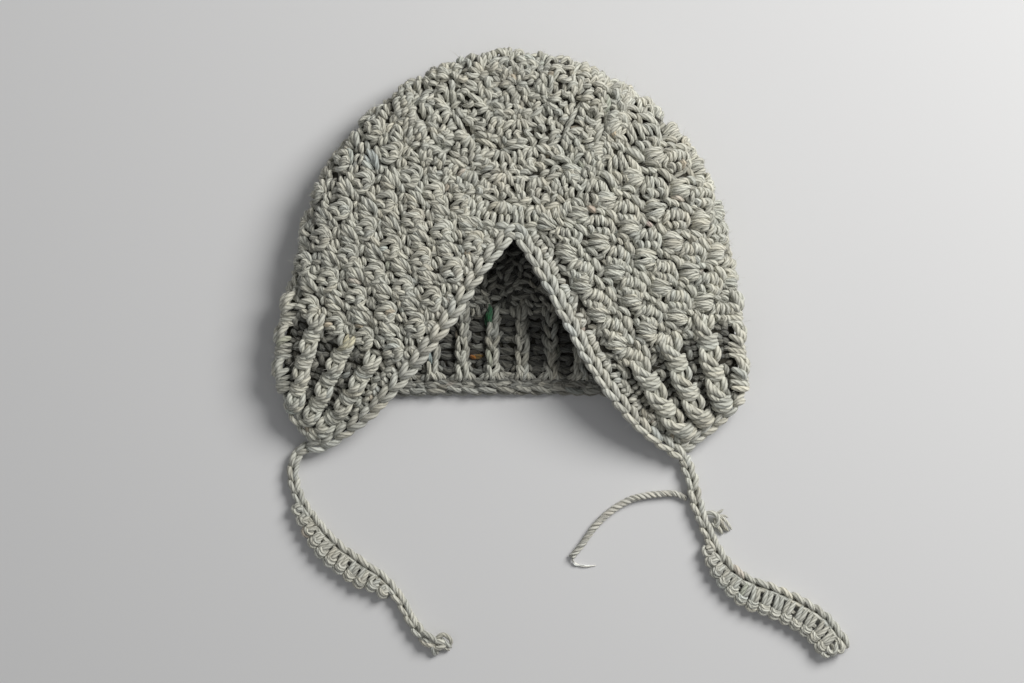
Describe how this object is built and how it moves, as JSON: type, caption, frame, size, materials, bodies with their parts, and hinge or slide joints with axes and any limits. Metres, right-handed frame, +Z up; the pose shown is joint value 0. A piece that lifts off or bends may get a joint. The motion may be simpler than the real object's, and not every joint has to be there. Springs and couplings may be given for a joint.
{
  "type": "crochet bonnet",
  "caption": "Small crochet bonnet lying flat on its back: textured rounds from the crown, ribbed neck with ear flaps, open face with a chain border and tie cords.",
  "frame": {"origin": "middle of the bonnet's outline (fabric and border, without the loose cords), on the surface it lies on", "axes": "+Z up off the surface, +Y towards the crown, +X to the right as seen from above; the face opening and the ties are on the -Y side"},
  "size_m": [0.2663, 0.2791, 0.0316],
  "materials": {
    "main_fabric": "worked yarn, matt, textured clusters and fans",
    "ribbing": "worked yarn, matt, raised ribs",
    "border_chain": "worked yarn, matt, chain stitches",
    "tie_chain": "worked yarn, matt, chain stitches",
    "tie_band": "worked yarn, matt, second row of stitches",
    "plied_yarn": "plied yarn, matt, slightly fuzzy"
  },
  "bodies": {
    "root": {"crown_shell": "main_fabric", "neck_ribbing": "ribbing", "front_edging": "border_chain", "left_tie": "tie_chain", "right_tie": "tie_chain", "left_tie_band": "tie_band", "right_tie_band": "tie_band", "yarn_tail": "plied_yarn", "yarn_tuft": "plied_yarn"}
  },
  "joints": []
}
